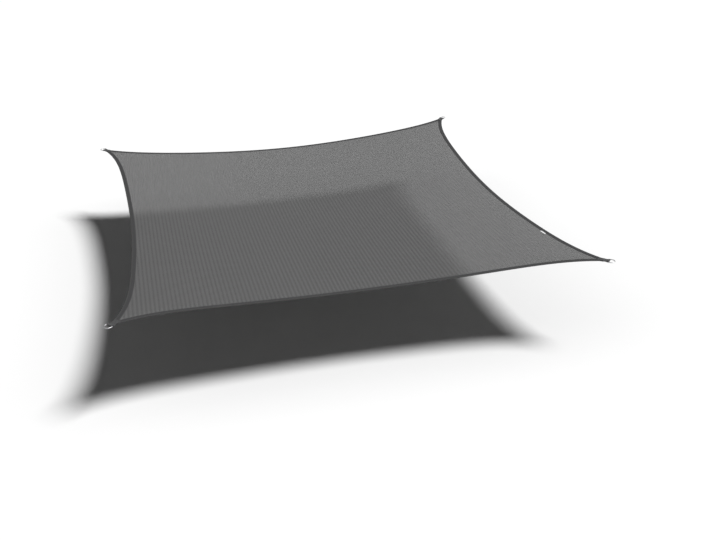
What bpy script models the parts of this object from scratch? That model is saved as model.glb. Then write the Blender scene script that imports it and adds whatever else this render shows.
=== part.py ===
"""Shade sail: a square of knitted shade cloth with a turned hem, stretched level by its corners.

Each corner has a loop of flat webbing, sewn over the tip of the cloth, that holds a steel D-ring.
A small blank label is sewn in at the right-hand hem.

Metres, +Z up, +X to the sail's right and +Y to its back. The origin is the middle of the level
square whose corners are the four places where the rings are pulled.
"""

import math

import bmesh
import bpy
import numpy as np

NAME = "shade_sail"

# The square between the places where the rings are pulled
ANCHOR_SIDE = 3.600

# The hollow cut of each edge, at its middle, square to the chord. The two shares of its shape
# gather the curve near the corners: with both at 0 it is a parabola. The curves of two edges would
# meet a little beyond the ring's bar, but the tip of the cloth is turned back before it.
EDGE_HOLLOW = 0.205
HOLLOW_SHAPE = (0.33, 1.07)
CORNER_BEYOND_BAR = 0.024

# How far the stretched cloth hangs below its corners
EDGE_SAG = 0.096
SAG_SHAPE = (-0.37, 0.0)
CENTRE_SAG = 0.120

# Cloth, and the hem that is turned and sewn round it
CLOTH_THICKNESS = 0.0012
HEM_THICKNESS = 0.0030
HEM_WIDTH = 0.035
HEM_STEP = 0.002
TIP_TURNED_BACK = 0.062
SPANS = 30

# Webbing at the corners
WEBBING_WIDTH = 0.045
WEBBING_THICKNESS = 0.0020
WEBBING_REACH = 0.082
WEBBING_RUN_IN = 0.015
LOOP_SWEEP = math.radians(200)
LOOP_SPANS = 10

# D-ring of round wire
WIRE = 0.006
WIRE_SIDES = 8
RING_INNER_WIDTH = 0.047
BEND_RADIUS = 0.004
BEND_SPANS = 3
BOW_CENTRE = 0.014
BOW_SPANS = 9

# Label at the right-hand hem
LABEL_LENGTH = 0.070
LABEL_WIDTH = 0.014
LABEL_THICKNESS = 0.0008
LABEL_FROM_FRONT = 0.694
LABEL_SPANS = 4

# Gaps between pieces that touch in the real object. The webbing's flat legs clear the cloth's curve.
SEWN_GAP = 0.0004
LEG_GAP = 0.0008
LOOP_GAP = 0.0005

# Step in u or v over which a slope of the sail is measured
SLOPE_STEP = 1e-4

# Corner names, and the turn of each corner's diagonal about Z
CORNERS = (
    ("back_right", math.radians(45)),
    ("back_left", math.radians(135)),
    ("front_left", math.radians(225)),
    ("front_right", math.radians(315)),
)

# Worked out from the sizes above. RING_REACH runs from the middle of the ring's straight bar to
# the flat at the inside of its bow, where it is pulled, and CORNER_REACH runs there from the place
# where two edges' curves would meet.
BOW_RADIUS = (RING_INNER_WIDTH + WIRE) / 2
WIRE_FLAT = WIRE / 2 * math.cos(math.pi / WIRE_SIDES)
RING_REACH = BOW_CENTRE + (BOW_RADIUS - WIRE_FLAT) * math.cos(math.pi / (2 * BOW_SPANS))
CORNER_REACH = RING_REACH - CORNER_BEYOND_BAR
CLOTH_HALF = ANCHOR_SIDE / 2 - CORNER_REACH / math.sqrt(2)


def arch(t, shape):
    """1 in the middle and 0 at both ends, t = -1 and t = 1."""
    square, fourth = shape
    return (1 - t**2) * (1 + square * t**2 + fourth * t**4)


def sail_point(u, v):
    """The middle of the cloth's thickness, with its corners at height 0.

    u runs from the left edge, -1, to the right edge, 1, and v from the front to the back.
    """
    x = u * (CLOTH_HALF - EDGE_HOLLOW * arch(v, HOLLOW_SHAPE))
    y = v * (CLOTH_HALF - EDGE_HOLLOW * arch(u, HOLLOW_SHAPE))
    hang = EDGE_SAG * (arch(u, SAG_SHAPE) + arch(v, SAG_SHAPE))
    drawn_up = (2 * EDGE_SAG - CENTRE_SAG) * (1 - u**2) * (1 - v**2)
    return np.stack([x, y, drawn_up - hang], axis=-1)


def along_edge(v):
    """The run of the right edge at v, for each unit of v."""
    right = np.ones_like(v)
    return (sail_point(right, v + SLOPE_STEP) - sail_point(right, v - SLOPE_STEP)) / (2 * SLOPE_STEP)


def share_inside(v, distance):
    """The share of u that lies within a distance of the right edge, square to that edge, at v.

    The sail is square, so it serves the other three edges too.
    """
    right = np.ones_like(v)
    along = along_edge(v)
    across = (sail_point(right, v) - sail_point(right - SLOPE_STEP, v)) / SLOPE_STEP
    area = np.linalg.norm(np.cross(along, across), axis=-1)
    return distance * np.linalg.norm(along, axis=-1) / area


# The run of the cloth's diagonal into its corner, the angle at which it climbs there, and the
# heights of the cloth's corners and of the rings' bars under the places where the rings are pulled
DIAGONAL = (sail_point(1.0, 1.0) - sail_point(1.0 - SLOPE_STEP, 1.0 - SLOPE_STEP)) / SLOPE_STEP
CORNER_SLOPE = math.atan2(DIAGONAL[2], math.hypot(DIAGONAL[0], DIAGONAL[1]))
CORNER_HEIGHT = -CORNER_REACH * math.sin(CORNER_SLOPE)
BAR_HEIGHT = -RING_REACH * math.sin(CORNER_SLOPE)


def clear_scene():
    for item in list(bpy.data.objects):
        bpy.data.objects.remove(item, do_unlink=True)


def make_material(name, color, roughness, metallic=0.0):
    material = bpy.data.materials.new(name)
    material.use_nodes = True
    shader = material.node_tree.nodes["Principled BSDF"]
    shader.inputs["Base Color"].default_value = (*color, 1.0)
    shader.inputs["Roughness"].default_value = roughness
    shader.inputs["Metallic"].default_value = metallic
    return material


def add_object(name, data, collection, material=None):
    item = bpy.data.objects.new(name, data)
    collection.objects.link(item)
    if material:
        data.materials.append(material)
    return item


def mesh_from(bm, name):
    mesh = bpy.data.meshes.new(name)
    bm.to_mesh(mesh)
    bm.free()
    return mesh


def thicken(item, thickness):
    """Give an open surface its thickness, half above it and half below."""
    modifier = item.modifiers.new("Thickness", "SOLIDIFY")
    modifier.thickness = thickness
    modifier.offset = 0.0
    modifier.use_even_offset = True
    return modifier


def sail_cloth(collection, material):
    """The hemmed panel: a grid drawn out to the sail's shape, thicker in the band of the hem.

    A grid line is a fraction of the half width that ends at some distance inside the edge. The
    lines of the hem end at the edge, at the hem's inner side and at the foot of its step.
    """
    foot = HEM_WIDTH + HEM_STEP
    inner = np.linspace(-1, 1, SPANS + 1)
    fractions = np.concatenate([[-1, -1], inner, [1, 1]])
    insets = np.concatenate([[0, HEM_WIDTH], np.full(SPANS + 1, foot), [HEM_WIDTH, 0]])
    last = len(fractions) - 1

    bm = bmesh.new()
    bmesh.ops.create_grid(bm, x_segments=last, y_segments=last, size=1.0)
    tip = 1 - TIP_TURNED_BACK / np.linalg.norm(DIAGONAL)
    hem = []
    for index, vertex in enumerate(bm.verts):
        i = round((vertex.co.x + 1) / 2 * last)
        j = round((vertex.co.y + 1) / 2 * last)
        u = fractions[i] * (1 - share_inside(fractions[j], insets[i]))
        v = fractions[j] * (1 - share_inside(fractions[i], insets[j]))
        if abs(u) == 1 and abs(v) == 1:
            u, v = u * tip, v * tip
        vertex.co = sail_point(u, v)
        if min(insets[i], insets[j]) <= HEM_WIDTH:
            hem.append(index)

    item = add_object("sail_cloth", mesh_from(bm, "sail_cloth"), collection, material)
    item.data.shade_smooth()
    item.vertex_groups.new(name="hem").add(hem, 1.0, "REPLACE")
    modifier = thicken(item, HEM_THICKNESS)
    modifier.vertex_group = "hem"
    modifier.thickness_vertex_group = CLOTH_THICKNESS / HEM_THICKNESS
    item.location.z = CORNER_HEIGHT
    return item


def care_label(collection, material, cloth):
    """A short woven strip that lies on the cloth, along the inner side of the right-hand hem."""
    bm = bmesh.new()
    bmesh.ops.create_grid(bm, x_segments=1, y_segments=LABEL_SPANS, size=0.5)
    middle = LABEL_FROM_FRONT / CLOTH_HALF - 1
    length_share = LABEL_LENGTH / np.linalg.norm(along_edge(middle))
    outer = HEM_WIDTH + HEM_STEP + SEWN_GAP
    height = CLOTH_THICKNESS / 2 + SEWN_GAP + LABEL_THICKNESS / 2
    for vertex in bm.verts:
        v = middle + vertex.co.y * length_share
        inside = outer + (0.5 - vertex.co.x) * LABEL_WIDTH
        vertex.co = sail_point(1 - share_inside(v, inside), v)
        vertex.co.z += height
    item = add_object("care_label", mesh_from(bm, "care_label"), collection, material)
    thicken(item, LABEL_THICKNESS)
    item.parent = cloth
    return item


def arc(centre, radius, start, end, spans):
    """Points along an arc, with both ends."""
    angles = np.linspace(start, end, spans + 1)
    return np.stack([centre[0] + radius * np.cos(angles), centre[1] + radius * np.sin(angles)], 1)


def webbing_mesh():
    """A ribbon that runs in over the cloth, round the ring's bar and back under the cloth.

    Its path lies in the XZ plane: X runs outwards along the pull and the bar is at the origin.
    """
    leg = HEM_THICKNESS / 2 + LEG_GAP + WEBBING_THICKNESS / 2
    radius = WIRE / 2 + LOOP_GAP + WEBBING_THICKNESS / 2
    loop = arc((0, 0), radius, LOOP_SWEEP / 2, -LOOP_SWEEP / 2, LOOP_SPANS)
    upper = np.array([(-WEBBING_REACH, leg), (-WEBBING_RUN_IN, leg)])
    lower = upper[::-1] * (1, -1)
    path = np.concatenate([upper, loop, lower])

    bm = bmesh.new()
    row = [bm.verts.new((x, -WEBBING_WIDTH / 2, z)) for x, z in path]
    edges = [bm.edges.new(pair) for pair in zip(row, row[1:])]
    across = bmesh.ops.extrude_edge_only(bm, edges=edges)["geom"]
    moved = [part for part in across if isinstance(part, bmesh.types.BMVert)]
    bmesh.ops.translate(bm, verts=moved, vec=(0, WEBBING_WIDTH, 0))
    return mesh_from(bm, "corner_webbing")


def ring_curve():
    """Round wire bent to a D in the XY plane, its straight bar along Y through the origin.

    The wire is turned half a facet, so that a flat of it faces the middle of the ring.
    """
    side = BOW_RADIUS - BEND_RADIUS
    quarter = math.pi / 2
    outline = np.concatenate([
        arc((BOW_CENTRE, 0), BOW_RADIUS, -quarter, quarter, BOW_SPANS),
        arc((BEND_RADIUS, side), BEND_RADIUS, quarter, 2 * quarter, BEND_SPANS),
        arc((BEND_RADIUS, -side), BEND_RADIUS, 2 * quarter, 3 * quarter, BEND_SPANS),
    ])
    curve = bpy.data.curves.new("d_ring", "CURVE")
    curve.dimensions = "3D"
    curve.bevel_depth = WIRE / 2
    curve.bevel_resolution = WIRE_SIDES // 2 - 2
    spline = curve.splines.new("POLY")
    spline.points.add(len(outline) - 1)
    for point, (x, y) in zip(spline.points, outline):
        point.co = (x, y, 0, 1)
        point.tilt = math.pi / WIRE_SIDES
    spline.use_cyclic_u = True
    return curve


def corner_frame(name, turn, collection):
    """An empty at the middle of a ring's bar: X runs out along the pull, Y along the bar."""
    item = add_object(f"corner_{name}", None, collection)
    reach = ANCHOR_SIDE / math.sqrt(2) - RING_REACH
    item.location = (reach * math.cos(turn), reach * math.sin(turn), BAR_HEIGHT)
    item.rotation_euler = (0, -CORNER_SLOPE, turn)
    return item


def build():
    clear_scene()
    collection = bpy.data.collections.new(NAME)
    bpy.context.scene.collection.children.link(collection)
    cloth = make_material("graphite_shade_cloth", (0.105, 0.105, 0.108), 0.85)
    webbing = make_material("grey_webbing", (0.085, 0.085, 0.088), 0.7)
    steel = make_material("bright_steel", (0.72, 0.72, 0.74), 0.25, metallic=1.0)
    label = make_material("white_label", (0.85, 0.85, 0.85), 0.6)

    panel = sail_cloth(collection, cloth)
    care_label(collection, label, panel)

    strap = webbing_mesh()
    strap.materials.append(webbing)
    ring = ring_curve()
    ring.materials.append(steel)
    for name, turn in CORNERS:
        frame = corner_frame(name, turn, collection)
        loop = add_object(f"corner_webbing_{name}", strap, collection)
        thicken(loop, WEBBING_THICKNESS)
        loop.parent = frame
        add_object(f"d_ring_{name}", ring, collection).parent = frame


build()
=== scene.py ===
import math

import bmesh
import bpy
import numpy as np
from mathutils import Matrix


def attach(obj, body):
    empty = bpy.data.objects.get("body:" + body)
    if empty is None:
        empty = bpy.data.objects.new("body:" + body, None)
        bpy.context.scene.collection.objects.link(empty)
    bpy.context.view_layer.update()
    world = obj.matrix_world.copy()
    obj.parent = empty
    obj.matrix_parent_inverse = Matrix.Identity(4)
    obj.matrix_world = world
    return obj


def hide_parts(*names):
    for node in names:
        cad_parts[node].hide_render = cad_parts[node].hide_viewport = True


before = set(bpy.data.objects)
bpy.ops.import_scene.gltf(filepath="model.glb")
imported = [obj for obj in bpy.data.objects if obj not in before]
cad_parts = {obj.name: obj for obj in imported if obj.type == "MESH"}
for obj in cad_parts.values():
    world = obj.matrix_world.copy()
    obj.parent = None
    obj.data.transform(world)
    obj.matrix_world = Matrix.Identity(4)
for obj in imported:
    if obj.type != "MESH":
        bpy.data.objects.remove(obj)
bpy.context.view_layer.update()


# ------------------------------------------------------------------------------ The panel
# One square of knitted shade cloth in graphite grey. Its edges are cut in hollow curves, so that
# they pull tight between the corners, and it hangs a little in the middle. The knit has fine
# ribs from front to back, and a little light comes through it.
ANCHOR_SIDE = 3.600         # between the places where the rings are pulled
RING_REACH = 0.03737        # from the bar of a ring to the place where it is pulled
CORNER_BEYOND_BAR = 0.024   # the curves of two edges would meet this far beyond the bar
EDGE_HOLLOW = 0.205         # the middle of each edge is cut in by this
HOLLOW_SHAPE = (0.33, 1.07)
EDGE_SAG = 0.096            # and hangs this far under the corners
SAG_SHAPE = (-0.37, 0.0)
CENTRE_SAG = 0.120          # as the centre of the cloth does by this
CORNER_REACH = RING_REACH - CORNER_BEYOND_BAR
CLOTH_HALF = ANCHOR_SIDE / 2 - CORNER_REACH / math.sqrt(2)

CLOTH_THICKNESS = 0.0010
BORDER_IN_HEM = 0.018       # the raw border lies this far inside the fold of the hem
RIB_PITCH = 0.0297
RIB_RELIEF = 0.00016        # half the height from trough to crest
RIB_FADE = (0.036, 0.070)   # the ribs are pressed flat at the hem, between these distances
COLUMNS_PER_RIB = 4
PANEL_ROWS = 64
SMALL = 1e-4                # the step over which a slope is taken
HEIGHT_ROUNDS = 12          # rounds until a place on the cloth has settled
GRID_ROUNDS = 30            # and until the panel's grid has
MERGE_WITHIN = 1e-5


def arch(t, shape):
    """1 in the middle and 0 at both ends, t = -1 and 1: a parabola, times a polynomial in the square
    of t that gathers the curve near the ends."""
    square, fourth = shape
    return (1 - t**2) * (1 + square * t**2 + fourth * t**4)


def half_width(t):
    """Half the width of the cloth at a share t of its length: the half side, less the hollow's arch."""
    return CLOTH_HALF - EDGE_HOLLOW * arch(t, HOLLOW_SHAPE)


def hang(u, v):
    """How far the cloth hangs under its corners: the arches of both ways, less what the stretch
    draws up in the middle. u and v are shares of the way from the middle to the edges."""
    drawn_up = (2 * EDGE_SAG - CENTRE_SAG) * (1 - u**2) * (1 - v**2)
    return EDGE_SAG * (arch(u, SAG_SHAPE) + arch(v, SAG_SHAPE)) - drawn_up


CORNER_RUN = math.sqrt(2) * (CLOTH_HALF - (1 - SMALL) * half_width(1 - SMALL))
CORNER_SLOPE = math.atan2(hang(1 - SMALL, 1 - SMALL), CORNER_RUN)
CORNER_HEIGHT = -CORNER_REACH * math.sin(CORNER_SLOPE)


def cloth_height(x, y):
    """The height of the middle of the cloth over a point of its plan. The shares u and v are found
    by dividing the point by the half width at the other share, over and over until they settle."""
    u, v = x / CLOTH_HALF, y / CLOTH_HALF
    for _ in range(HEIGHT_ROUNDS):
        u, v = x / half_width(v), y / half_width(u)
    return CORNER_HEIGHT - hang(u, v)


def on_cloth(x, y, lift):
    """Points at a lift above the middle of the cloth, square to it, from the height's slopes."""
    slope_x = (cloth_height(x + SMALL, y) - cloth_height(x - SMALL, y)) / (2 * SMALL)
    slope_y = (cloth_height(x, y + SMALL) - cloth_height(x, y - SMALL)) / (2 * SMALL)
    up = np.stack([-slope_x, -slope_y, np.ones_like(x)], axis=-1)
    up /= np.linalg.norm(up, axis=-1, keepdims=True)
    return np.stack([x, y, cloth_height(x, y)], axis=-1) + up * np.asarray(lift)[..., None]


def edge_slope(t):
    """How the half width changes along the edge at t: its difference over a small step."""
    return (half_width((t + SMALL) / CLOTH_HALF) - half_width((t - SMALL) / CLOTH_HALF)) / (2 * SMALL)


def inside_edge(t, inset):
    """How far out the cloth's plan reaches at t along it, at an inset square to the edge."""
    return half_width(t / CLOTH_HALF) - inset * np.sqrt(1 + edge_slope(t)**2)


def smooth(low, high, value):
    """0 below low, 1 above high, and an S-curve between them."""
    share = np.clip((value - low) / (high - low), 0, 1)
    return share * share * (3 - 2 * share)


def grid_faces(rows, columns, close_columns=False):
    """The corner numbers of every square of a grid of points, row by row."""
    last = columns if close_columns else columns - 1
    row, column = np.meshgrid(np.arange(rows - 1), np.arange(last), indexing="ij")
    after = (column + 1) % columns
    low, high = row * columns, (row + 1) * columns
    squares = np.stack([low + column, low + after, high + after, high + column], axis=-1)
    return squares.reshape(-1, 4).tolist()


def add_mesh(name, points, faces, uv=None):
    """A smooth-shaded object from points and faces, with a map from each point's uv if it is given."""
    mesh = bpy.data.meshes.new(name)
    mesh.from_pydata(points.reshape(-1, 3).tolist(), [], faces)
    mesh.shade_smooth()
    if uv is not None:
        corners = np.zeros(len(mesh.loops), np.int32)
        mesh.loops.foreach_get("vertex_index", corners)
        layer = mesh.uv_layers.new(name="cloth_run")
        layer.uv.foreach_set("vector", uv.reshape(-1, 2)[corners].astype(np.float32).ravel())
    item = bpy.data.objects.new(name, mesh)
    bpy.context.scene.collection.objects.link(item)
    return item


def merge(mesh):
    """Joins the points that lie on each other, where the columns of a grid run together."""
    joined = bmesh.new()
    joined.from_mesh(mesh)
    bmesh.ops.remove_doubles(joined, verts=joined.verts, dist=MERGE_WITHIN)
    joined.to_mesh(mesh)
    joined.free()


def thicken(item, thickness):
    """Gives an open surface a thickness, half on each side."""
    modifier = item.modifiers.new("Thickness", "SOLIDIFY")
    modifier.thickness = thickness
    modifier.offset = 0.0
    return item


def panel_mesh():
    """The panel's grid. A column keeps its x until it meets the side edge, and then follows that
    edge; a row keeps its share of the way to the front or back edge. Both are settled by turns.
    The lift of the ribs is a cosine of x, faded out near the hem."""
    tip = CLOTH_HALF
    for _ in range(GRID_ROUNDS):
        tip = inside_edge(tip, BORDER_IN_HEM)
    step = RIB_PITCH / COLUMNS_PER_RIB
    count = int(tip // step)
    columns = np.concatenate([[-tip], np.arange(-count, count + 1) * step, [tip]])
    column, row = np.meshgrid(columns, np.linspace(-1, 1, PANEL_ROWS + 1))
    x, y = column, row * CLOTH_HALF
    for _ in range(GRID_ROUNDS):
        side = inside_edge(y, BORDER_IN_HEM)
        x = np.clip(column, -side, side)
        y = row * inside_edge(x, BORDER_IN_HEM)
    to_side = half_width(y / CLOTH_HALF) - np.abs(x)
    to_end = half_width(x / CLOTH_HALF) - np.abs(y)
    fade = smooth(*RIB_FADE, to_side) * smooth(*RIB_FADE, to_end)
    lift = RIB_RELIEF * fade * np.cos(2 * math.pi * x / RIB_PITCH)
    panel = add_mesh("shade_panel", on_cloth(x, y, lift), grid_faces(*x.shape))
    merge(panel.data)
    return thicken(panel, CLOTH_THICKNESS)


def fill(node, values):
    """Puts values into a node's sockets, and joins other nodes' outputs to them."""
    for key, value in values.items():
        if isinstance(value, bpy.types.NodeSocket):
            node.id_data.links.new(value, node.inputs[key])
        else:
            node.inputs[key].default_value = value


def math_output(tree, operation, *values):
    """The output of a new Math node in a node tree."""
    node = tree.nodes.new("ShaderNodeMath")
    node.operation = operation
    fill(node, dict(enumerate(values)))
    return node.outputs[0]


CHAIN_FALL = 3.2            # how fast the height falls from the middle of a chain, in crests a wale
LOOP_SWELL = 0.15           # each loop of a chain swells and narrows by this share
TAPE_CREST = 0.75           # the height of a tape, where a chain's is 1
TAPE_FALL = 2.6             # and how fast it falls to its sides


def knit_group():
    """Shade knit as a shader group. Chains of loops run along y, one every wale, and tapes cross
    between them in a zigzag, one every course. Each is its crest, less its fall times the distance
    from its middle. The height is the higher of the two, and 0 in the pores between them."""
    group = bpy.data.node_groups.new("Shade knit", "ShaderNodeTree")
    inputs = (("Vector", "NodeSocketVector"), ("Wale", "NodeSocketFloat"), ("Course", "NodeSocketFloat"))
    for name, kind in inputs:
        group.interface.new_socket(name, in_out="INPUT", socket_type=kind)
    group.interface.new_socket("Height", in_out="OUTPUT", socket_type="NodeSocketFloat")
    given, result = group.nodes.new("NodeGroupInput"), group.nodes.new("NodeGroupOutput")
    split = group.nodes.new("ShaderNodeSeparateXYZ")
    fill(split, {0: given.outputs["Vector"]})

    def math_node(operation, *values):
        """The output of a new Math node in this group."""
        return math_output(group, operation, *values)

    wale = math_node("DIVIDE", split.outputs["X"], given.outputs["Wale"])
    course = math_node("DIVIDE", split.outputs["Y"], given.outputs["Course"])
    from_chain = math_node("PINGPONG", wale, 0.5)
    chain = math_node("SUBTRACT", 1.0, math_node("MULTIPLY", from_chain, CHAIN_FALL))
    turn = math_node("MULTIPLY", math_node("SUBTRACT", course, from_chain), 2 * math.pi)
    swell = math_node("MULTIPLY_ADD", math_node("SINE", turn), LOOP_SWELL, 1.0 - LOOP_SWELL)
    chain = math_node("MULTIPLY", chain, swell)
    across = math_node("PINGPONG", math_node("ADD", wale, course), 0.5)
    back = math_node("PINGPONG", math_node("SUBTRACT", wale, course), 0.5)
    from_tape = math_node("MINIMUM", across, back)
    tape = math_node("SUBTRACT", TAPE_CREST, math_node("MULTIPLY", from_tape, TAPE_FALL))
    height = math_node("MAXIMUM", math_node("MAXIMUM", chain, tape), 0.0)
    fill(result, {"Height": height})
    return group


SHADE_KNIT = knit_group()


KNIT_COLOR = (0.0950, 0.0950, 0.0950)
KNIT_ROUGHNESS = 0.82
KNIT_RELIEF = 0.00025       # from a pore to the crest of a loop
PAINTED_PORE_SHADE = 0.88            # painted shade: the tone of a pore
PAINTED_LOOP_HIGHLIGHT = 0.24            # and a painted highlight makes the crest of a loop this much lighter
WALE = RIB_PITCH / 9        # nine wales to a rib
COURSE = 0.0026


class Finish:
    """A new material with its Principled BSDF, and short ways to add and join nodes."""

    def __init__(self, name, color, roughness, **sockets):
        self.material = bpy.data.materials.new(name)
        self.material.use_nodes = True
        self.tree = self.material.node_tree
        self.shader = self.tree.nodes["Principled BSDF"]
        fill(self.shader, {"Base Color": (*color, 1.0), "Roughness": roughness, **sockets})

    def add(self, kind, values=None, **settings):
        """A new node with its settings and its sockets' values."""
        node = self.tree.nodes.new(kind)
        for key, value in settings.items():
            setattr(node, key, value)
        fill(node, values or {})
        return node

    def math(self, operation, *values):
        """The output of a Math node."""
        return math_output(self.tree, operation, *values)

    def place(self):
        """The place on the piece, in the frame of the sail."""
        return self.add("ShaderNodeTexCoord").outputs["Object"]

    def flat_place(self):
        """The place on the piece as it lies flat, from its own map."""
        return self.add("ShaderNodeUVMap", uv_map="cloth_run").outputs[0]

    def noise(self, place, scale, detail):
        """Cloudy unevenness, from 0 to 1."""
        node = self.add("ShaderNodeTexNoise", {"Vector": place, "Scale": scale, "Detail": detail})
        return node.outputs["Fac"]

    def smooth_step(self, value, limits, low, high):
        """One tone below the first limit, another above the second, and an S-curve between them."""
        start, end = limits
        sockets = {"Value": value, "From Min": start, "From Max": end, "To Min": low, "To Max": high}
        return self.add("ShaderNodeMapRange", sockets, interpolation_type="SMOOTHSTEP").outputs[0]

    def color_by(self, color, amount):
        """The surface's colour, scaled by an amount that changes over it."""
        node = self.add("ShaderNodeVectorMath", {0: color, "Scale": amount}, operation="SCALE")
        fill(self.shader, {"Base Color": node.outputs[0]})

    def bump(self, height, distance):
        """Raises a height pattern by a distance into the shader's normal."""
        node = self.add("ShaderNodeBump", {"Height": height, "Distance": distance})
        fill(self.shader, {"Normal": node.outputs[0]})

    def knit(self, place, wale, course, color, tone):
        """The shade knit at its scale, over a tone: its loops stand up, with painted shade in its pores
        and a painted highlight on the crests of its loops.
        """
        sockets = {"Vector": place, "Wale": wale, "Course": course}
        height = self.add("ShaderNodeGroup", sockets, node_tree=SHADE_KNIT).outputs["Height"]
        # painted shade in the pores and a painted highlight on the loops' crests, from the knit's height
        loops = self.math("MULTIPLY_ADD", height, PAINTED_LOOP_HIGHLIGHT, PAINTED_PORE_SHADE)
        self.color_by(color, self.math("MULTIPLY", tone, loops))
        self.bump(height, KNIT_RELIEF)


PANEL_SPECULAR = 0.6        # more than the hem's, because it lowers the grain of the thin cloth's render
SEEN_THROUGH = 0.259        # of each face, so that 7% of what is behind the cloth shows
LAMP_THROUGH = 0.176        # of each face, so that 3.1% of the lamp's light comes through
RIB_TONE = 0.125            # a rib is this share lighter than the mean, and a trough this much darker
RIB_DENSITY = 0.025         # and each face of it lets this much less through
UNEVEN_TONE = 0.06          # between the darkest and the lightest patches of the cloth


def panel_finish():
    """Graphite knit: its ribs are lighter and denser, and a little is seen through all of it. The
    tone is the product of the ribs' cosine, the patches' noise and the knit. Towards the lamp the
    cloth counts as denser, so that the shadow under it is dark."""
    finish = Finish("graphite_shade_knit", KNIT_COLOR, KNIT_ROUGHNESS)
    fill(finish.shader, {"Specular IOR Level": PANEL_SPECULAR})
    place = finish.place()
    x = finish.add("ShaderNodeSeparateXYZ", {0: place}).outputs["X"]
    rib = finish.math("COSINE", finish.math("MULTIPLY", x, 2 * math.pi / RIB_PITCH))
    patches = finish.noise(place, scale=2.2, detail=3.0)
    patches = finish.math("MULTIPLY_ADD", patches, UNEVEN_TONE, 1.0 - UNEVEN_TONE / 2)
    tone = finish.math("MULTIPLY", finish.math("MULTIPLY_ADD", rib, RIB_TONE, 1.0), patches)
    finish.knit(place, WALE, COURSE, KNIT_COLOR, tone)
    through = finish.math("MULTIPLY_ADD", rib, -RIB_DENSITY, SEEN_THROUGH)
    dense = finish.math("SUBTRACT", 1.0, through)
    to_lamp = finish.add("ShaderNodeLightPath").outputs["Is Shadow Ray"]
    to_lamp = finish.math("MULTIPLY", to_lamp, 1.0 - LAMP_THROUGH)
    fill(finish.shader, {"Alpha": finish.math("MAXIMUM", dense, to_lamp)})
    return finish.material


panel = panel_mesh()
panel.data.materials.append(panel_finish())
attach(panel, "root")
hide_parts("sail_cloth")


# ------------------------------------------------------------------------------ The hem
# The edge of the cloth is turned round its own border and sewn down as a band about 35 mm wide.
# It lies double, so it is denser and darker than the panel, and both its borders are pulled in
# by a row of stitches. Each side's hem ends in a mitre at the corners, cut off short at the tip.
HEM_LAYER = 0.0008
TIP_TURNED_BACK = 0.062
STITCH_ROWS = (0.005, 0.030)     # insets of the two rows
HEM_SPANS = 240
MITRE_ROUNDS = 40           # rounds until the end of a line of the hem has settled
MITRE_START = 0.05          # how far from the corner they start
PUCKER_SWELL = 0.10         # the band swells by up to this share between its stitches
PUCKER_PACES = (61, 97, 151)     # of its waves, in radians a metre
PUCKER_FROM_FOLD = 0.006    # it is kept from the fold, and is whole at this inset
SIDES_APART = 7             # metres of pattern a half turn, so that no two sides are alike
# Half of the hem's section, from its inner border over the top to the fold: inset, and lift of
# the middle of the layer, in millimetres
HEM_SECTION = (
    (35.0, 0.98), (33.8, 1.16), (32.0, 1.18), (30.8, 1.08), (30.0, 1.00), (29.2, 1.08), (28.0, 1.20),
    (23.0, 1.24), (17.5, 1.26), (12.0, 1.24), (7.0, 1.20), (5.8, 1.08), (5.0, 1.00), (4.2, 1.06),
    (3.0, 1.12), (1.6, 0.98), (0.7, 0.60), (0.4, 0.0),
)
SIDES = (("right", 0.0), ("back", 0.5), ("left", 1.0), ("front", 1.5))    # with their half turns


def edge_point(t, inset):
    """A plan point at an inset square to the right edge, from the foot at t along that edge: the
    foot, less the inset along the edge's outward normal."""
    slope = edge_slope(t)
    length = np.sqrt(1 + slope**2)
    return half_width(t / CLOTH_HALF) - inset / length, t + inset * slope / length


def hem_end(inset):
    """How far along its edge a line of the hem runs: to the mitre on the diagonal, where x is y, or
    to the straight cut across the tip if that comes first. Each round goes on by what is missing, or
    by half of it for the cut."""
    cut = math.sqrt(2) * CLOTH_HALF - TIP_TURNED_BACK
    mitre_t = np.full_like(inset, CLOTH_HALF - MITRE_START)
    cut_t = mitre_t.copy()
    for _ in range(MITRE_ROUNDS):
        x, y = edge_point(mitre_t, inset)
        mitre_t = mitre_t + (x - y)
        x, y = edge_point(cut_t, inset)
        cut_t = cut_t + 0.5 * (cut - (x + y) / math.sqrt(2))
    return np.minimum(mitre_t, cut_t)


def turned(points, half_turns):
    """Points turned about Z by a number of half turns."""
    cos, sin = math.cos(half_turns * math.pi), math.sin(half_turns * math.pi)
    x, y, z = points[..., 0], points[..., 1], points[..., 2]
    return np.stack([cos * x - sin * y, sin * x + cos * y, z], axis=-1)


def pucker(t):
    """How the band swells between its stitches along an edge: the mean of sines of unlike paces."""
    return sum(np.sin(t * pace + start) for start, pace in enumerate(PUCKER_PACES)) / len(PUCKER_PACES)


def hem_mesh(name, half_turns):
    """One side's hem: the section carried along the edge, from end to end of each of its lines."""
    half = np.array(HEM_SECTION) / 1000
    section = np.concatenate([half, half[-2::-1] * (1, -1)])
    inset, lift = section[:, 0], section[:, 1]
    reach = hem_end(inset)
    share = np.linspace(-1, 1, HEM_SPANS + 1)
    t = share[:, None] * reach
    x, y = edge_point(t, np.broadcast_to(inset, t.shape))
    pattern = t + half_turns * SIDES_APART
    swell = 1 + PUCKER_SWELL * pucker(pattern) * smooth(0.0, PUCKER_FROM_FOLD, inset)
    points = turned(on_cloth(x, y, lift * swell), half_turns)
    run = np.concatenate([[0], np.cumsum(np.hypot(*np.diff(section, axis=0).T))])
    uv = np.stack([np.broadcast_to(run, t.shape), pattern], axis=-1)
    return thicken(add_mesh(name, points, grid_faces(*t.shape), uv), HEM_LAYER)


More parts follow.
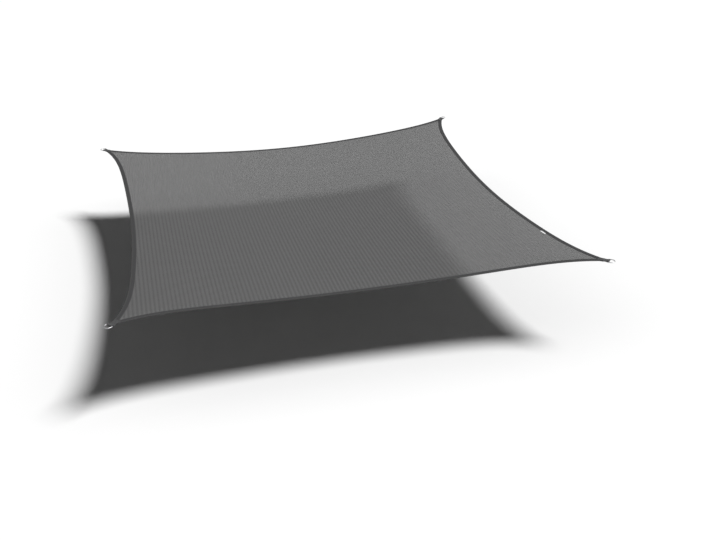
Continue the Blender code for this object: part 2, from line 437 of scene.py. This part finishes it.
HEM_COLOR = (0.0385, 0.0385, 0.0393)
HEM_SPECULAR = 0.25
HEM_RUN = 0.073             # the section's whole run, from border to border
PAINTED_BORDER_SHADE = 0.94          # painted shade: the band is darker along its inner border,
PAINTED_BORDER_SHADE_FADE = (0.006, 0.011)     # which fades out between these distances from it,
PAINTED_FOLD_HIGHLIGHT = 1.20            # and a painted highlight makes it lighter at the fold,
PAINTED_FOLD_HIGHLIGHT_FADE = (0.016, 0.031)       # which fades in between these


def hem_finish():
    """The same knit, doubled: it lets nothing through, and grows lighter from its inner border to the
    fold, with painted shade along that border and a painted highlight at the fold. The tone is the
    product of two smooth steps of the distance from that border."""
    finish = Finish("doubled_shade_knit", HEM_COLOR, KNIT_ROUGHNESS)
    fill(finish.shader, {"Specular IOR Level": HEM_SPECULAR})
    place = finish.flat_place()
    across = finish.add("ShaderNodeSeparateXYZ", {0: place}).outputs["X"]
    from_border = finish.math("PINGPONG", across, HEM_RUN / 2)
    # painted shade along the inner border and a painted highlight at the fold
    border = finish.smooth_step(from_border, PAINTED_BORDER_SHADE_FADE, PAINTED_BORDER_SHADE, 1.0)
    fold = finish.smooth_step(from_border, PAINTED_FOLD_HIGHLIGHT_FADE, 1.0, PAINTED_FOLD_HIGHLIGHT)
    finish.knit(place, COURSE, WALE, HEM_COLOR, finish.math("MULTIPLY", border, fold))
    return finish.material


hem_material = hem_finish()
for side, half_turns in SIDES:
    hem = hem_mesh(f"hem_{side}", half_turns)
    hem.data.materials.append(hem_material)
    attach(hem, "root")


# ------------------------------------------------------------------------------ The hem's stitching
# Two rows of lockstitch in dark grey thread hold each hem, one near the fold and one near its
# inner border. The same stitches show on top and underneath.
STITCH_PITCH = 0.006
STITCH_LENGTH = 0.0050
STITCH_WIDTH = 0.0010
STITCH_HEIGHT = 0.8         # as a share of its width
STITCH_SHOULDER = 0.3       # a stitch is whole up to this share of its length from its middle
STITCH_LIFT = 0.00135
ROW_POINTS = 2000           # a row of stitches is measured out on so many points


def stitches(name, middles, along, up, length=STITCH_LENGTH, width=STITCH_WIDTH):
    """Many short stitches as one mesh. Each is a spindle: four points round it at each of its two
    shoulders, and a point at each end."""
    girth = [(0.5, 0), (0, 0.5), (-0.5, 0), (0, -0.5)]
    shoulders = [(x, y, z) for x in (-STITCH_SHOULDER, STITCH_SHOULDER) for y, z in girth]
    shape = np.array([(-0.5, 0, 0), *shoulders, (0.5, 0, 0)]) * (length, width, width * STITCH_HEIGHT)
    around = [(1, 2), (2, 3), (3, 4), (4, 1)]
    triangles = [(0, b, a) for a, b in around] + [(9, a + 4, b + 4) for a, b in around]
    squares = [(a, b, b + 4, a + 4) for a, b in around]
    across = np.cross(up, along)
    axes = np.stack([along, across, up], axis=1)
    points = middles[:, None, :] + np.einsum("pk,nkc->npc", shape, axes)
    base = np.arange(len(middles))[:, None, None] * len(shape)
    faces = (np.array(triangles)[None] + base).reshape(-1, 3).tolist()
    faces += (np.array(squares)[None] + base).reshape(-1, 4).tolist()
    return add_mesh(name, points, faces)


def unit(vectors):
    """Vectors scaled to a length of one."""
    return vectors / np.linalg.norm(vectors, axis=-1, keepdims=True)


def hem_stitch_places(inset, half_turns, face):
    """The middle, run and upright of each stitch in a row: points at even distances along the
    line of the row, with the way along that line and the way square to the cloth."""

    def row(t, lift):
        """Points of the row at a lift above the middle of the cloth."""
        return on_cloth(*edge_point(t, inset), np.full_like(t, lift))

    end = hem_end(np.array([inset]))[0]
    t = np.linspace(-end, end, ROW_POINTS)
    run = np.concatenate([[0], np.cumsum(np.linalg.norm(np.diff(row(t, 0.0), axis=0), axis=1))])
    count = int(run[-1] / STITCH_PITCH)
    t = np.interp((np.arange(count) + 0.5) * run[-1] / count, run, t)
    middle, before = row(t, face * STITCH_LIFT), row(t - SMALL, face * STITCH_LIFT)
    core = row(t, 0.0)
    return [turned(p, half_turns) for p in (middle, unit(middle - before), unit(middle - core))]


THREAD_COLOR = (0.045, 0.045, 0.048)
THREAD_ROUGHNESS = 0.45     # where it is smoothest
THREAD_UNEVEN = 0.2         # and this much more where it is roughest
THREAD_RELIEF = 0.0001


def thread_finish():
    """Polyester thread: dark grey, with a slight shine and the fine bumps of its twist."""
    finish = Finish("grey_thread", THREAD_COLOR, THREAD_ROUGHNESS + THREAD_UNEVEN / 2)
    twist = finish.noise(finish.place(), scale=900.0, detail=1.0)
    roughness = finish.math("MULTIPLY_ADD", twist, THREAD_UNEVEN, THREAD_ROUGHNESS)
    fill(finish.shader, {"Roughness": roughness})
    finish.bump(twist, THREAD_RELIEF)
    return finish.material


thread = thread_finish()
places = [
    hem_stitch_places(inset, half_turns, face)
    for _, half_turns in SIDES for inset in STITCH_ROWS for face in (1, -1)
]
hem_stitching = stitches("hem_stitching", *(np.concatenate(column) for column in zip(*places)))
hem_stitching.data.materials.append(thread)
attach(hem_stitching, "root")


# ------------------------------------------------------------------------------ The label
# A short strip of white woven satin, sewn on the cloth along the inner side of the right-hand hem.
# It is blank.
LABEL_LENGTH = 0.070
LABEL_WIDTH = 0.014
LABEL_LAYER = 0.0005
LABEL_FROM_FRONT = 0.694    # from the front corner of the cloth to the middle of the label
LABEL_INSET = 0.0374        # from the edge to the label's sewn side
LABEL_LIFT = 0.0014
LABEL_CURL = 0.0015         # of the free side at its two ends
LABEL_CURL_MIDDLE = 0.4     # and this share of it halfway between them
LABEL_GRID = (11, 29)       # points across and along


def label_mesh():
    """A strip whose long free side curls up with the square of the way across, and a little more
    towards its ends, with the square of the way along."""
    rows, columns = LABEL_GRID
    across, along = np.meshgrid(np.linspace(0, 1, rows), np.linspace(-0.5, 0.5, columns), indexing="ij")
    to_end = LABEL_CURL_MIDDLE + (1 - LABEL_CURL_MIDDLE) * (2 * along)**2
    lift = LABEL_LIFT + LABEL_CURL * across**2 * to_end
    t = LABEL_FROM_FRONT - CLOTH_HALF + along * LABEL_LENGTH
    points = on_cloth(*edge_point(t, LABEL_INSET + across * LABEL_WIDTH), lift)
    uv = np.stack([across * LABEL_WIDTH, along * LABEL_LENGTH], axis=-1)
    return thicken(add_mesh("blank_label", points, grid_faces(*along.shape), uv), LABEL_LAYER)


LABEL_COLOR = (0.86, 0.86, 0.86)
LABEL_PAINTED_SHADE = 0.08           # painted shade: from the grooves of the weave to its threads
LABEL_RELIEF = 0.0001


def label_finish():
    """White satin: close ribs of thread across the strip, with painted shade in the grooves between
    them and a soft shine.
    """
    finish = Finish("white_label_satin", LABEL_COLOR, roughness=0.5)
    fill(finish.shader, {"Sheen Weight": 0.15})
    sockets = {"Vector": finish.flat_place(), "Scale": 320.0, "Distortion": 0.4}
    weave = finish.add("ShaderNodeTexWave", sockets, bands_direction="Y").outputs["Fac"]
    # painted shade in the grooves of the weave, from its relief
    finish.color_by(LABEL_COLOR, finish.math("MULTIPLY_ADD", weave, LABEL_PAINTED_SHADE, 1.0 - LABEL_PAINTED_SHADE))
    finish.bump(weave, LABEL_RELIEF)
    return finish.material


label = label_mesh()
label.data.materials.append(label_finish())
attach(label, "root")
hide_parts("care_label")


# ------------------------------------------------------------------------------ The corner webbing
# A loop of flat grey webbing at each corner. It comes in over the tip of the cloth, goes round the
# straight bar of the ring and runs back underneath, and a box of stitches with a cross in it
# holds both legs to the cloth.
WEBBING_WIDTH = 0.045
WEBBING_THICKNESS = 0.0020
WEBBING_REACH = 0.082
WEBBING_LEG = 0.0030        # from the middle of the cloth to the middle of each leg
LOOP_RADIUS = 0.0045
LOOP_SWEEP = math.radians(200)
LEG_POINTS = 73
LOOP_POINTS = 41
SELVAGE_POINTS = 9
FACE_POINTS = 13            # across each face, between the selvages
CORNERS = (("back_right", 0.25), ("back_left", 0.75), ("front_left", 1.25), ("front_right", 1.75))


def at_corner(points, half_turns):
    """Points of a corner's own frame, with X out along the pull, Y along the ring's bar and the
    origin at the middle of that bar, tilted up by the cloth's slope and turned to their corner."""
    cos, sin = math.cos(CORNER_SLOPE), math.sin(CORNER_SLOPE)
    x, y, z = points[..., 0], points[..., 1], points[..., 2]
    out, up = ANCHOR_SIDE / math.sqrt(2) - RING_REACH, -RING_REACH * sin
    tilted = np.stack([cos * x - sin * z + out, y, sin * x + cos * z + up], axis=-1)
    return turned(tilted, half_turns)


def turned_directions(vectors, half_turns):
    """Directions of a corner's own frame, in the frame of the whole sail."""
    return at_corner(vectors, half_turns) - at_corner(np.zeros(3), half_turns)


# The upper leg's middle line at the places where its slope changes: X, and height over the cloth's
# middle. It lies on the cloth, drops to meet the other leg and rises to the loop.
WEBBING_LINE = (
    (-WEBBING_REACH, WEBBING_LEG), (-0.040, WEBBING_LEG), (-0.030, 0.00105), (-0.020, 0.00105),
)


def webbing_path():
    """The middle line of the webbing in X and Z: the upper leg, whose places are joined by S-curves,
    the arc round the ring's bar, and the same leg below. An S-curve is a cosine."""
    arc = np.linspace(LOOP_SWEEP / 2, -LOOP_SWEEP / 2, LOOP_POINTS)
    loop = LOOP_RADIUS * np.stack([np.cos(arc), np.sin(arc)], axis=1)
    places = np.array([*WEBBING_LINE, loop[0]])
    x = np.linspace(-WEBBING_REACH, loop[0, 0], LEG_POINTS)[:-1]
    step = np.searchsorted(places[:, 0], x, side="right") - 1
    start, end = places[step], places[step + 1]
    share = (x - start[:, 0]) / (end[:, 0] - start[:, 0])
    z = start[:, 1] + (end[:, 1] - start[:, 1]) * (1 - np.cos(math.pi * share)) / 2
    upper = np.stack([x, z], axis=1)
    return np.concatenate([upper, loop, upper[::-1] * (1, -1)])


def webbing_section():
    """Round the webbing: a flat band whose two selvages are half circles."""
    radius = WEBBING_THICKNESS / 2
    flat = WEBBING_WIDTH / 2 - radius
    bend = np.linspace(-math.pi / 2, math.pi / 2, SELVAGE_POINTS)
    right = np.stack([flat + radius * np.cos(bend), radius * np.sin(bend)], axis=1)
    top = np.linspace((flat, radius), (-flat, radius), FACE_POINTS + 2)[1:-1]
    return np.concatenate([right, top, -right, -top])


def webbing_mesh(name, half_turns):
    """The section carried along the path, square to it, closed at both ends."""
    path, section = webbing_path(), webbing_section()
    step = np.gradient(path, axis=0)
    step /= np.linalg.norm(step, axis=1, keepdims=True)
    normal = np.stack([-step[:, 1], step[:, 0]], axis=1)
    x = path[:, None, 0] + normal[:, None, 0] * section[None, :, 1]
    z = path[:, None, 1] + normal[:, None, 1] * section[None, :, 1]
    y = np.broadcast_to(section[None, :, 0], x.shape)
    points = at_corner(np.stack([x, y, z], axis=-1), half_turns)
    count = x.shape[1]
    ends = [list(range(count)), list(range(x.size - 1, x.size - count - 1, -1))]
    run = np.concatenate([[0], np.cumsum(np.hypot(*np.diff(path, axis=0).T))])
    uv = np.stack([y, np.broadcast_to(run[:, None], y.shape)], axis=-1)
    return add_mesh(name, points, grid_faces(*x.shape, close_columns=True) + ends, uv)


WEBBING_COLOR = (0.049, 0.049, 0.050)
BONE_WIDTH = 0.0042         # of each slant of the herringbone
THREAD_PITCH = 0.0016
ROW_PITCH = 0.0014
WEBBING_PAINTED_SHADING = 0.10         # painted light and shade: a thread is this share lighter than the mean, and a groove as much darker
WEBBING_RELIEF = 0.00018


def webbing_finish():
    """Grey polyester webbing: a herringbone of threads in rows across its width. The weave is
    three parts a sine of the slant and two parts a cosine of the way across. Its threads are painted
    lighter and its grooves darker, as light and shade on the weave."""
    finish = Finish("grey_webbing_weave", WEBBING_COLOR, roughness=0.62)
    split = finish.add("ShaderNodeSeparateXYZ", {0: finish.flat_place()})
    zigzag = finish.math("PINGPONG", split.outputs["X"], BONE_WIDTH)
    slant = finish.math("ADD", zigzag, split.outputs["Y"])
    threads = finish.math("SINE", finish.math("MULTIPLY", slant, 2 * math.pi / THREAD_PITCH))
    rows = finish.math("COSINE", finish.math("MULTIPLY", split.outputs["X"], 2 * math.pi / ROW_PITCH))
    weave = finish.math("MULTIPLY_ADD", threads, 0.6, finish.math("MULTIPLY", rows, 0.4))
    # painted light and shade: lighter threads and darker grooves, from the weave's relief
    finish.color_by(WEBBING_COLOR, finish.math("MULTIPLY_ADD", weave, WEBBING_PAINTED_SHADING, 1.0))
    finish.bump(weave, WEBBING_RELIEF)
    return finish.material


BOX_FROM, BOX_TO = -0.078, -0.045
BOX_HALF_WIDTH = 0.0175
BOX_STITCH_PITCH = 0.0042
BOX_STITCH_LENGTH = 0.0036
BOX_LIFT = WEBBING_LEG + WEBBING_THICKNESS / 2 + 0.0001     # just above the face of the webbing


def box_stitch_places(half_turns, face):
    """Stitches at even distances along the sides of a box and its two diagonals."""
    a, b = np.array([BOX_FROM, -BOX_HALF_WIDTH]), np.array([BOX_TO, -BOX_HALF_WIDTH])
    c, d = np.array([BOX_TO, BOX_HALF_WIDTH]), np.array([BOX_FROM, BOX_HALF_WIDTH])
    middles, runs = [], []
    for start, end in ((a, b), (b, c), (c, d), (d, a), (a, c), (b, d)):
        count = round(np.linalg.norm(end - start) / BOX_STITCH_PITCH)
        share = (np.arange(count) + 0.5) / count
        middles.append(start + share[:, None] * (end - start))
        runs.append(np.broadcast_to((end - start) / np.linalg.norm(end - start), (count, 2)))
    middles, runs = np.concatenate(middles), np.concatenate(runs)
    flat = np.zeros(len(middles))
    middle = np.column_stack([middles, flat + face * BOX_LIFT])
    up = np.column_stack([flat, flat, flat + face])
    return (
        at_corner(middle, half_turns),
        turned_directions(np.column_stack([runs, flat]), half_turns),
        turned_directions(up, half_turns),
    )


webbing_material = webbing_finish()
for corner, half_turns in CORNERS:
    webbing = webbing_mesh(f"webbing_{corner}", half_turns)
    webbing.data.materials.append(webbing_material)
    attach(webbing, "root")
    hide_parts(f"corner_webbing_{corner}")

places = [box_stitch_places(half_turns, face) for _, half_turns in CORNERS for face in (1, -1)]
box_stitching = stitches(
    "corner_stitching", *(np.concatenate(column) for column in zip(*places)), length=BOX_STITCH_LENGTH)
box_stitching.data.materials.append(thread)
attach(box_stitching, "root")


# ------------------------------------------------------------------------------ The D-rings
# Each ring is 6 mm stainless wire, bent to a D and tumbled to a satin shine. Its straight bar
# lies in the loop of webbing, which hides the weld. The sail's lines pull at the inside of its bow.
WIRE = 0.006
RING_INNER_WIDTH = 0.047
BEND_RADIUS = 0.004
BOW_CENTRE = 0.014
BOW_RADIUS = (RING_INNER_WIDTH + WIRE) / 2
WIRE_SIDES = 24
BOW_POINTS = 41
BEND_POINTS = 9


def ring_mesh(name, half_turns):
    """A circle carried round the D, square to its line. The line is the bow's half circle, two
    quarter bends and the straights between them, with points close together in the bends."""
    side = BOW_RADIUS - BEND_RADIUS
    quarter = math.pi / 2

    def arc(centre, radius, start, end, count):
        """Points about a centre at even angles: the radius times the cosine and the sine."""
        angle = np.linspace(start, end, count)
        return np.stack([centre[0] + radius * np.cos(angle), centre[1] + radius * np.sin(angle)], axis=1)

    line = np.concatenate([
        arc((BOW_CENTRE, 0), BOW_RADIUS, -quarter, quarter, BOW_POINTS),
        np.linspace((BOW_CENTRE, BOW_RADIUS), (BEND_RADIUS, BOW_RADIUS), 6)[1:-1],
        arc((BEND_RADIUS, side), BEND_RADIUS, quarter, 2 * quarter, BEND_POINTS),
        np.linspace((0, side), (0, -side), 12)[1:-1],
        arc((BEND_RADIUS, -side), BEND_RADIUS, 2 * quarter, 3 * quarter, BEND_POINTS),
        np.linspace((BEND_RADIUS, -BOW_RADIUS), (BOW_CENTRE, -BOW_RADIUS), 6)[1:-1],
    ])
    ahead = np.roll(line, -1, axis=0) - np.roll(line, 1, axis=0)
    ahead /= np.linalg.norm(ahead, axis=1, keepdims=True)
    out = np.stack([ahead[:, 1], -ahead[:, 0]], axis=1)
    angle = np.arange(WIRE_SIDES) * 2 * math.pi / WIRE_SIDES
    x = line[:, None, 0] + out[:, None, 0] * np.cos(angle) * WIRE / 2
    y = line[:, None, 1] + out[:, None, 1] * np.cos(angle) * WIRE / 2
    z = np.broadcast_to(np.sin(-angle) * WIRE / 2, x.shape)
    points = np.stack([x, y, z], axis=-1)
    points = np.concatenate([points, points[:1]])
    faces = np.array(grid_faces(*points.shape[:2], close_columns=True)) % x.size
    return add_mesh(name, at_corner(points[:-1], half_turns), faces.tolist())


STEEL_COLOR = (0.52, 0.52, 0.53)
STEEL_ROUGHNESS = 0.42      # where it is smoothest
STEEL_UNEVEN = 0.16         # and this much more where it is roughest
STEEL_RELIEF = 0.00004


def steel_finish():
    """Satin stainless steel with a slightly uneven shine."""
    roughness = STEEL_ROUGHNESS + STEEL_UNEVEN / 2
    finish = Finish("satin_stainless_steel", STEEL_COLOR, roughness, Metallic=1.0)
    uneven = finish.noise(finish.place(), scale=140.0, detail=4.0)
    roughness = finish.math("MULTIPLY_ADD", uneven, STEEL_UNEVEN, STEEL_ROUGHNESS)
    fill(finish.shader, {"Roughness": roughness})
    finish.bump(uneven, STEEL_RELIEF)
    return finish.material


steel = steel_finish()
for corner, half_turns in CORNERS:
    ring = ring_mesh(f"ring_{corner}", half_turns)
    ring.data.materials.append(steel)
    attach(ring, "root")
    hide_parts(f"d_ring_{corner}")


# ------------------------------------------------------------------------------ The studio
# A pale floor under the sail, with painted shade in and round the sail's shadow, one large soft
# lamp high on the right and a white surround. The camera stands at the front left and looks down
# at the sail.
FLOOR_HEIGHT = -0.6957
FLOOR_HALF = 60.0
FLOOR_COLOR = (0.80, 0.80, 0.80)
PAINTED_SHADE_DEPTH = 0.21           # painted shade: the floor's colour is this share darker in and round the shadow,
PAINTED_SHADE_MIDDLE = (0.0, 0.08)        # about this place, 0.4 m to the right of the shadow's middle,
PAINTED_SHADE_FADES = ((0.83, 3.23), (1.30, 2.55))    # and fades out between these distances in X and in Y
CAMERA_PLACE = (-1.4693, -6.9248, 2.9121)
CAMERA_YAW, CAMERA_PITCH, CAMERA_ROLL = -0.2045, 0.4715, -0.0285
LENS = 44.557
CAMERA_SHIFT = (0.0606, -0.0023)
LAMP_FROM = (0.596, -0.123, 1.0)
LAMP_WIDTH = math.radians(19)
LAMP_STRENGTH = 4.65
SURROUND_SEEN = 1.0         # the strength of the surround as the backdrop,
SURROUND_GLOSS = 0.32       # in gloss
SURROUND_LIGHT = 0.035      # and as light


def floor_finish():
    """Pale matt floor with painted shade, a little darker in and round the sail's shadow: one, less
    the depth times two smooth steps, of the distances along X and along Y from the middle of the
    painted patch."""
    finish = Finish("pale_floor", FLOOR_COLOR, roughness=0.9)
    split = finish.add("ShaderNodeSeparateXYZ", {0: finish.place()})
    fades = []
    for axis, middle, limits in zip("XY", PAINTED_SHADE_MIDDLE, PAINTED_SHADE_FADES):
        away = finish.math("ABSOLUTE", finish.math("SUBTRACT", split.outputs[axis], middle))
        fades.append(finish.smooth_step(away, limits, 1.0, 0.0))
    # painted shade: the floor's colour is darkened in and round the sail's shadow
    tone = finish.math("MULTIPLY_ADD", finish.math("MULTIPLY", *fades), -PAINTED_SHADE_DEPTH, 1.0)
    finish.color_by(FLOOR_COLOR, tone)
    return finish.material


corners = np.array([(-1, -1), (1, -1), (1, 1), (-1, 1)]) * FLOOR_HALF
floor = add_mesh("floor", np.column_stack([corners, np.full(4, FLOOR_HEIGHT)]), [[0, 1, 2, 3]])
floor.data.materials.append(floor_finish())

lamp_data = bpy.data.lights.new("soft_lamp", "SUN")
lamp_data.energy = LAMP_STRENGTH
lamp_data.angle = LAMP_WIDTH
lamp = bpy.data.objects.new("soft_lamp", lamp_data)
lamp.rotation_euler = (
    math.atan2(math.hypot(LAMP_FROM[0], LAMP_FROM[1]), LAMP_FROM[2]),
    0,
    math.atan2(LAMP_FROM[1], LAMP_FROM[0]) + math.pi / 2,
)
bpy.context.scene.collection.objects.link(lamp)

surround = bpy.data.worlds.new("white_surround")
surround.use_nodes = True
background = surround.node_tree.nodes["Background"]
seen_by = surround.node_tree.nodes.new("ShaderNodeLightPath").outputs
strength = SURROUND_SEEN
for kind, light in (("Is Glossy Ray", SURROUND_GLOSS), ("Is Diffuse Ray", SURROUND_LIGHT)):
    choice = surround.node_tree.nodes.new("ShaderNodeMix")
    fill(choice, {"Factor": seen_by[kind], "A": strength, "B": light})
    strength = choice.outputs["Result"]
fill(background, {"Strength": strength, "Color": (1.0, 1.0, 1.0, 1.0)})
bpy.context.scene.world = surround

camera_data = bpy.data.cameras.new("camera")
camera_data.lens = LENS
camera_data.sensor_width = 36.0
camera_data.shift_x, camera_data.shift_y = CAMERA_SHIFT
camera_data.clip_end = 200.0
camera = bpy.data.objects.new("camera", camera_data)
camera.location = CAMERA_PLACE
camera.rotation_euler = (
    Matrix.Rotation(CAMERA_YAW, 3, "Z")
    @ Matrix.Rotation(math.pi / 2 - CAMERA_PITCH, 3, "X")
    @ Matrix.Rotation(CAMERA_ROLL, 3, "Z")
).to_euler()
bpy.context.scene.collection.objects.link(camera)
bpy.context.scene.camera = camera
bpy.context.scene.view_settings.view_transform = "Standard"
